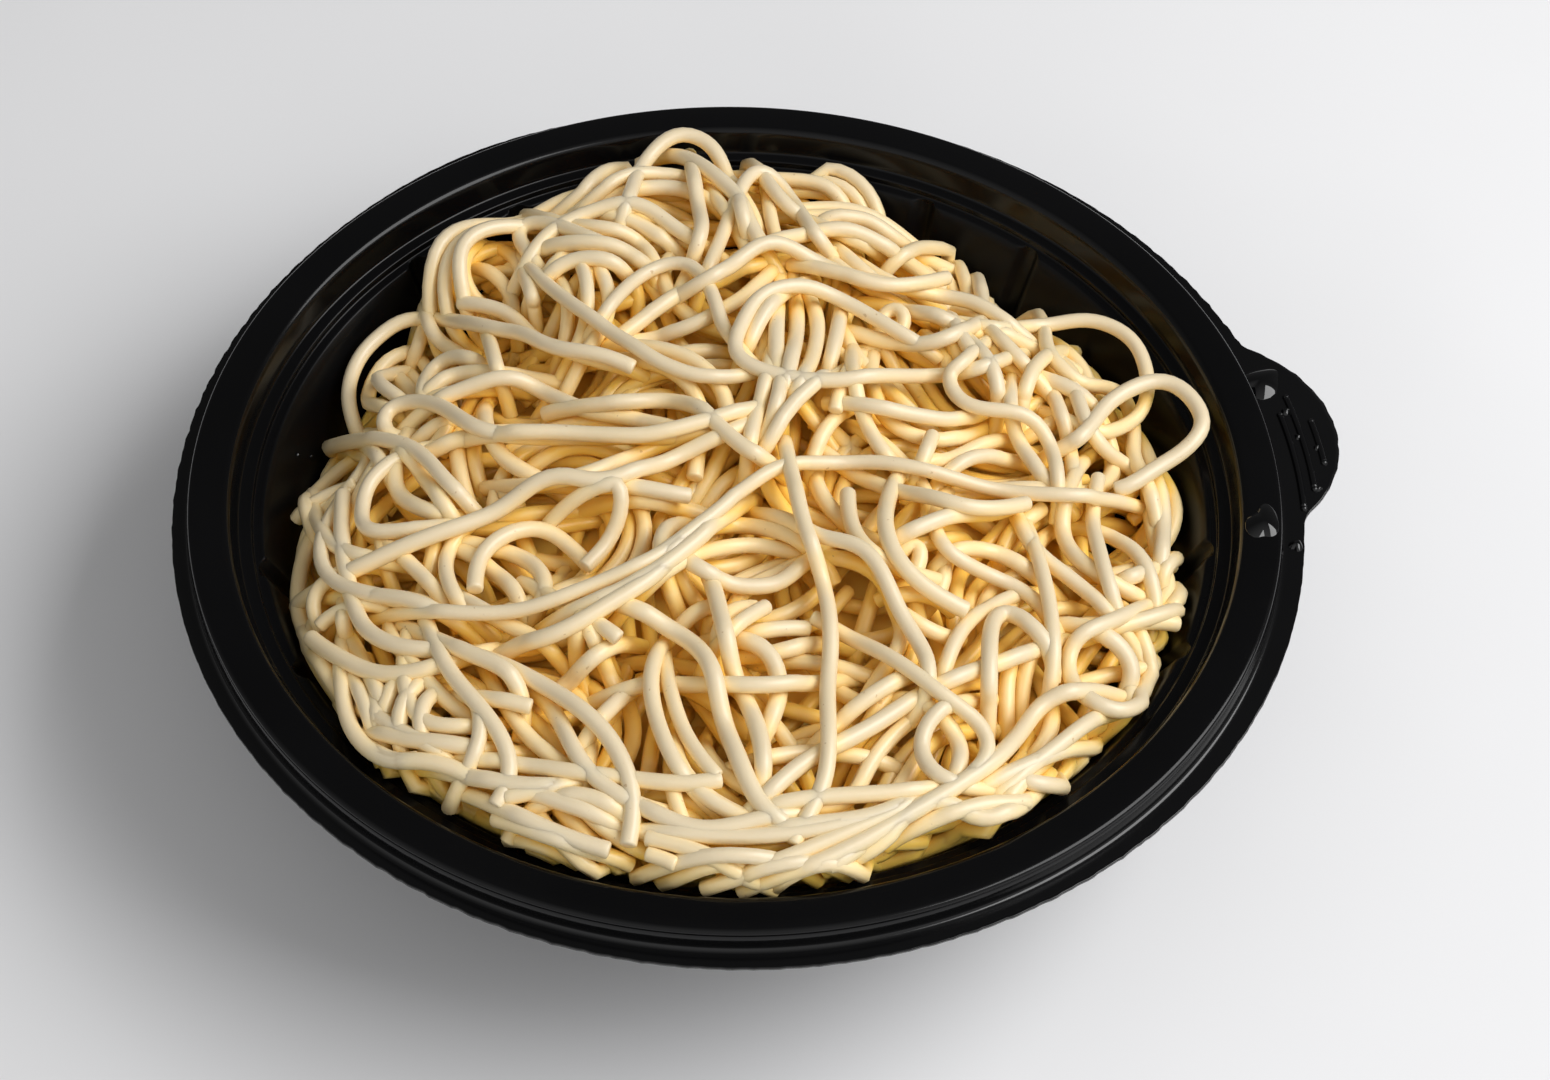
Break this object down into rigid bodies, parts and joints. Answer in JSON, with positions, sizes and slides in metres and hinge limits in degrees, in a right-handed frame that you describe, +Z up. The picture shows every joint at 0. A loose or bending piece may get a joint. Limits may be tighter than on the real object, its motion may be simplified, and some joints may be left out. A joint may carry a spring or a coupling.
{
  "type": "filled noodle takeaway bowl",
  "caption": "Round black plastic takeaway bowl with a wide rim, fluted wall and pull tab, heaped with plain cooked noodles.",
  "frame": {"origin": "centre of the bowl's underside", "axes": "+Z up out of the bowl's mouth; +X towards the side with the pull tab, which sits about 10 degrees round from it towards +Y; -Y towards the side the picture was taken from"},
  "size_m": [0.1997, 0.1917, 0.0615],
  "materials": {
    "black_plastic": "smooth, slightly glossy black formed sheet",
    "cooked_noodle": "moist cooked wheat noodle, pale straw yellow"
  },
  "bodies": {
    "root": {"bowl": "black_plastic", "noodles": "cooked_noodle"}
  },
  "joints": []
}
